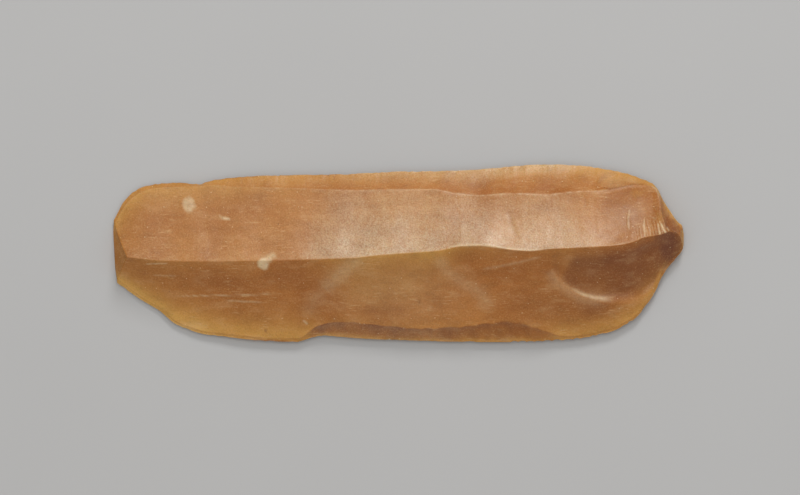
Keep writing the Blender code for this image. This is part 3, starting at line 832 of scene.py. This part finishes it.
class Shading:
    """Adds shader nodes to one material by short calls."""

    def __init__(self, name):
        self.material = bpy.data.materials.new(name)
        self.material.use_nodes = True
        self.tree = self.material.node_tree
        self.shader = self.tree.nodes["Principled BSDF"]
        self.place = self.add("ShaderNodeTexCoord").outputs["Object"]

    def add(self, kind, settings=(), inputs=()):
        node = self.tree.nodes.new(kind)
        for key, value in dict(settings).items():
            setattr(node, key, value)
        for key, value in dict(inputs).items():
            self.put(node.inputs[key], value)
        return node

    def put(self, socket, value):
        if isinstance(value, bpy.types.NodeSocket):
            self.tree.links.new(value, socket)
        else:
            socket.default_value = value

    def attribute(self, name):
        return self.add("ShaderNodeAttribute", {"attribute_name": name}).outputs["Fac"]

    def math(self, operation, a, b=0.0, clamp=False):
        settings = {"operation": operation, "use_clamp": clamp}
        return self.add("ShaderNodeMath", settings, {0: a, 1: b}).outputs[0]

    def times(self, a, b, clamp=False):
        return self.math("MULTIPLY", a, b, clamp)

    def ramp(self, value, low, high):
        """Value brought from low..high to 0..1, smoothly."""
        settings = {"interpolation_type": "SMOOTHSTEP"}
        inputs = {"Value": value, "From Min": low, "From Max": high}
        return self.add("ShaderNodeMapRange", settings, inputs).outputs[0]

    def mix(self, share, a, b, blend="MIX"):
        settings = {"data_type": "RGBA", "blend_type": blend}
        return self.add("ShaderNodeMix", settings, {0: share, 6: a, 7: b}).outputs[2]

    def noise(self, size, detail=2.0, stretch=(1, 1, 1), roughness=0.5):
        """Noise from 0 to 1 with lumps of about that size, longer along an axis that stretch names."""
        scale = tuple(1 / s for s in stretch)
        place = self.add("ShaderNodeMapping", {}, {"Vector": self.place, "Scale": scale}).outputs[0]
        inputs = {"Vector": place, "Scale": 1 / size, "Detail": detail, "Roughness": roughness}
        return self.add("ShaderNodeTexNoise", {}, inputs).outputs["Fac"]

    def specks(self, size, radius, share):
        """1 inside small round specks, a random share of one for each cell of about that size."""
        cells = self.add("ShaderNodeTexVoronoi", {}, {"Vector": self.place, "Scale": 1 / size})
        dot = self.ramp(cells.outputs["Distance"], radius / size, 0.5 * radius / size)
        chosen = self.math("LESS_THAN", cells.outputs["Color"], share)
        return self.times(dot, chosen)

    def bump(self, height, distance, normal=None):
        inputs = {"Height": height, "Distance": distance, "Strength": 1.0}
        if normal is not None:
            inputs["Normal"] = normal
        return self.add("ShaderNodeBump", {}, inputs).outputs[0]


# Colours of the stone, its tints, its grain and its specks, and how strongly the finer ones show
CORE_COLOURS = (0.39, 0.119, 0.019, 1), (0.49, 0.178, 0.037, 1)
# Painted glow of light through thin stone: golden colours
PAINTED_GLOW_COLOURS = (0.72, 0.37, 0.07, 1), (0.79, 0.45, 0.12, 1)
# Dark tone of the stone, also used for painted shade in the hollows
DARK_TONE_AND_SHADE_COLOUR = (0.18, 0.046, 0.015, 1)
# Painted sheen: a whitish highlight mixed into the colour
PAINTED_SHEEN_COLOUR = (0.92, 0.87, 0.61, 1)
PALE_COLOUR = (0.82, 0.62, 0.37, 1)
PATCH_COLOUR = (0.80, 0.50, 0.24, 1)
LIGHT_GRAIN_COLOUR = (0.80, 0.47, 0.20, 1)
DARK_GRAIN_COLOUR = (0.20, 0.065, 0.012, 1)
LIGHT_SPECK_COLOUR = (0.92, 0.70, 0.42, 1)
DARK_SPECK_COLOUR = (0.12, 0.04, 0.012, 1)
PATCH_STRENGTH, STREAK_STRENGTH, GRAIN_STRENGTH, SPECK_STRENGTH = 0.16, 0.4, 0.28, 0.5


def flint():
    """Honey-brown flint: painted golden glow where it is thin, painted sheen and shade, pale inclusions,
    cloudy bands and a sugary grain.
    """
    s = Shading("flint_surface")
    core = s.mix(s.ramp(s.noise(9 * MM, 3.0), 0.35, 0.7), *CORE_COLOURS)
    # Painted golden glow where the stone is thin
    painted_glow = s.mix(s.noise(5 * MM), *PAINTED_GLOW_COLOURS)
    stone = s.mix(s.attribute("thin"), core, painted_glow)
    # Dark tone, and painted shade in the scar's hollow and the valleys
    stone = s.mix(s.attribute("dark_tone_and_shade"), stone, DARK_TONE_AND_SHADE_COLOUR)
    grain = s.noise(0.24 * MM, 2.0, roughness=0.7)
    fibres = s.noise(0.5 * MM, 3.0, (1, 5, 1))
    cover = s.times(s.ramp(fibres, 0.1, 0.9), 0.55)
    cover = s.math("ADD", cover, s.times(s.ramp(grain, 0.32, 0.72), 0.7))
    # Painted sheen: the colour is whitened over the middle facet and the strip, broken up by fibres and
    # grain
    painted_sheen = s.times(s.attribute("painted_sheen_and_gloss"), s.math("ADD", cover, 0.25))
    stone = s.mix(s.times(painted_sheen, 0.5, clamp=True), stone, PAINTED_SHEEN_COLOUR)
    stone = s.mix(s.attribute("pale"), stone, PALE_COLOUR)

    streaks = s.ramp(s.noise(0.26 * MM, 1.0, (6, 1, 1)), 0.58, 0.76)
    streaks = s.times(streaks, s.ramp(s.noise(5 * MM), 0.42, 0.62))
    quiet = s.math("MAXIMUM", s.attribute("painted_sheen_and_gloss"), s.attribute("dark_tone_and_shade"))
    streaks = s.times(streaks, s.math("SUBTRACT", 1.0, quiet))
    patches = s.noise(1.6 * MM, 3.0, (2, 1, 1))
    stone = s.mix(s.times(s.ramp(patches, 0.5, 0.72), PATCH_STRENGTH), stone, PATCH_COLOUR)
    stone = s.mix(s.times(s.ramp(patches, 0.5, 0.28), PATCH_STRENGTH), stone, DARK_GRAIN_COLOUR)
    stone = s.mix(s.times(streaks, STREAK_STRENGTH), stone, PATCH_COLOUR)
    stone = s.mix(s.times(s.ramp(grain, 0.5, 0.75), GRAIN_STRENGTH), stone, LIGHT_GRAIN_COLOUR)
    stone = s.mix(s.times(s.ramp(grain, 0.5, 0.25), GRAIN_STRENGTH), stone, DARK_GRAIN_COLOUR)
    stone = s.mix(s.times(s.specks(0.8 * MM, 0.12 * MM, 0.3), SPECK_STRENGTH), stone, LIGHT_SPECK_COLOUR)
    stone = s.mix(s.times(s.specks(3.4 * MM, 0.17 * MM, 0.4), SPECK_STRENGTH), stone, DARK_SPECK_COLOUR)
    s.put(s.shader.inputs["Base Color"], stone)

    gloss = s.math("ADD", 0.35, s.times(s.attribute("painted_sheen_and_gloss"), 0.5))
    s.put(s.shader.inputs["Specular IOR Level"], gloss)
    rough = s.math("ADD", 0.3, s.times(s.noise(0.9 * MM, 3.0), 0.18))
    s.put(s.shader.inputs["Roughness"], rough)
    waxy = s.bump(s.noise(1.4 * MM, 3.0), 0.05 * MM)
    s.put(s.shader.inputs["Normal"], s.bump(grain, 0.03 * MM, waxy))
    s.shader.inputs["IOR"].default_value = 1.54
    s.shader.inputs["Subsurface Weight"].default_value = 0.15
    s.shader.inputs["Subsurface Radius"].default_value = (1.0, 0.45, 0.18)
    s.shader.inputs["Subsurface Scale"].default_value = 0.6 * MM
    return s.material


def floor():
    """A plain pale floor under the blade."""
    bpy.ops.mesh.primitive_plane_add(size=3.0, location=(0, 0, LOW.z))
    plane = bpy.context.object
    plane.name = "floor"
    s = Shading("floor")
    grey = s.mix(s.noise(40 * MM, 3.0), (0.57, 0.57, 0.57, 1), (0.59, 0.59, 0.59, 1))
    s.put(s.shader.inputs["Base Color"], grey)
    s.shader.inputs["Roughness"].default_value = 0.9
    s.shader.inputs["Specular IOR Level"].default_value = 0.2
    plane.data.materials.append(s.material)


def soft_light(name, azimuth, elevation, distance, size, power):
    """A square soft light aimed at the blade. Azimuth 0 is the cutting edge's side, 90 the platform's."""
    lamp = bpy.data.lights.new(name, "AREA")
    lamp.size = size
    lamp.energy = power
    light = bpy.data.objects.new(name, lamp)
    a, e = math.radians(azimuth), math.radians(elevation)
    light.location = distance * Vector((math.sin(a) * math.cos(e), math.cos(a) * math.cos(e), math.sin(e)))
    light.rotation_euler = (-light.location).to_track_quat("-Z", "Y").to_euler()
    bpy.context.scene.collection.objects.link(light)


def lights():
    """A soft key light from the cutting edge's side, a weaker one from above, and an even fill."""
    soft_light("key", azimuth=15, elevation=32, distance=0.7, size=0.18, power=1.7)
    soft_light("top", azimuth=0, elevation=80, distance=0.9, size=0.5, power=1.6)
    world = bpy.data.worlds.new("studio")
    world.use_nodes = True
    background = world.node_tree.nodes["Background"]
    background.inputs["Color"].default_value = (1.0, 0.98, 0.95, 1)
    background.inputs["Strength"].default_value = 0.44
    bpy.context.scene.world = world


def camera():
    """Looks straight down, with the blade where the photograph has it."""
    data = bpy.data.cameras.new("camera")
    data.type = "ORTHO"
    pixel = LENGTH / BLADE_LENGTH_PX
    data.ortho_scale = FRAME_WIDTH_PX * pixel
    middle_x, middle_y = (LOW.x + HIGH.x) / 2, (LOW.y + HIGH.y) / 2
    view = bpy.data.objects.new("camera", data)
    view.location = (
        middle_x + (FRAME_WIDTH_PX / 2 - BLADE_MIDDLE_PX[0]) * pixel,
        middle_y + (BLADE_MIDDLE_PX[1] - FRAME_HEIGHT_PX / 2) * pixel,
        0.5,
    )
    bpy.context.scene.collection.objects.link(view)
    bpy.context.scene.camera = view


def main():
    blade = blade_object()
    blade.data.materials.append(flint())
    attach(blade, "root")
    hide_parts("flint_blade")
    floor()
    lights()
    camera()
    bpy.context.scene.view_settings.view_transform = "Standard"


main()
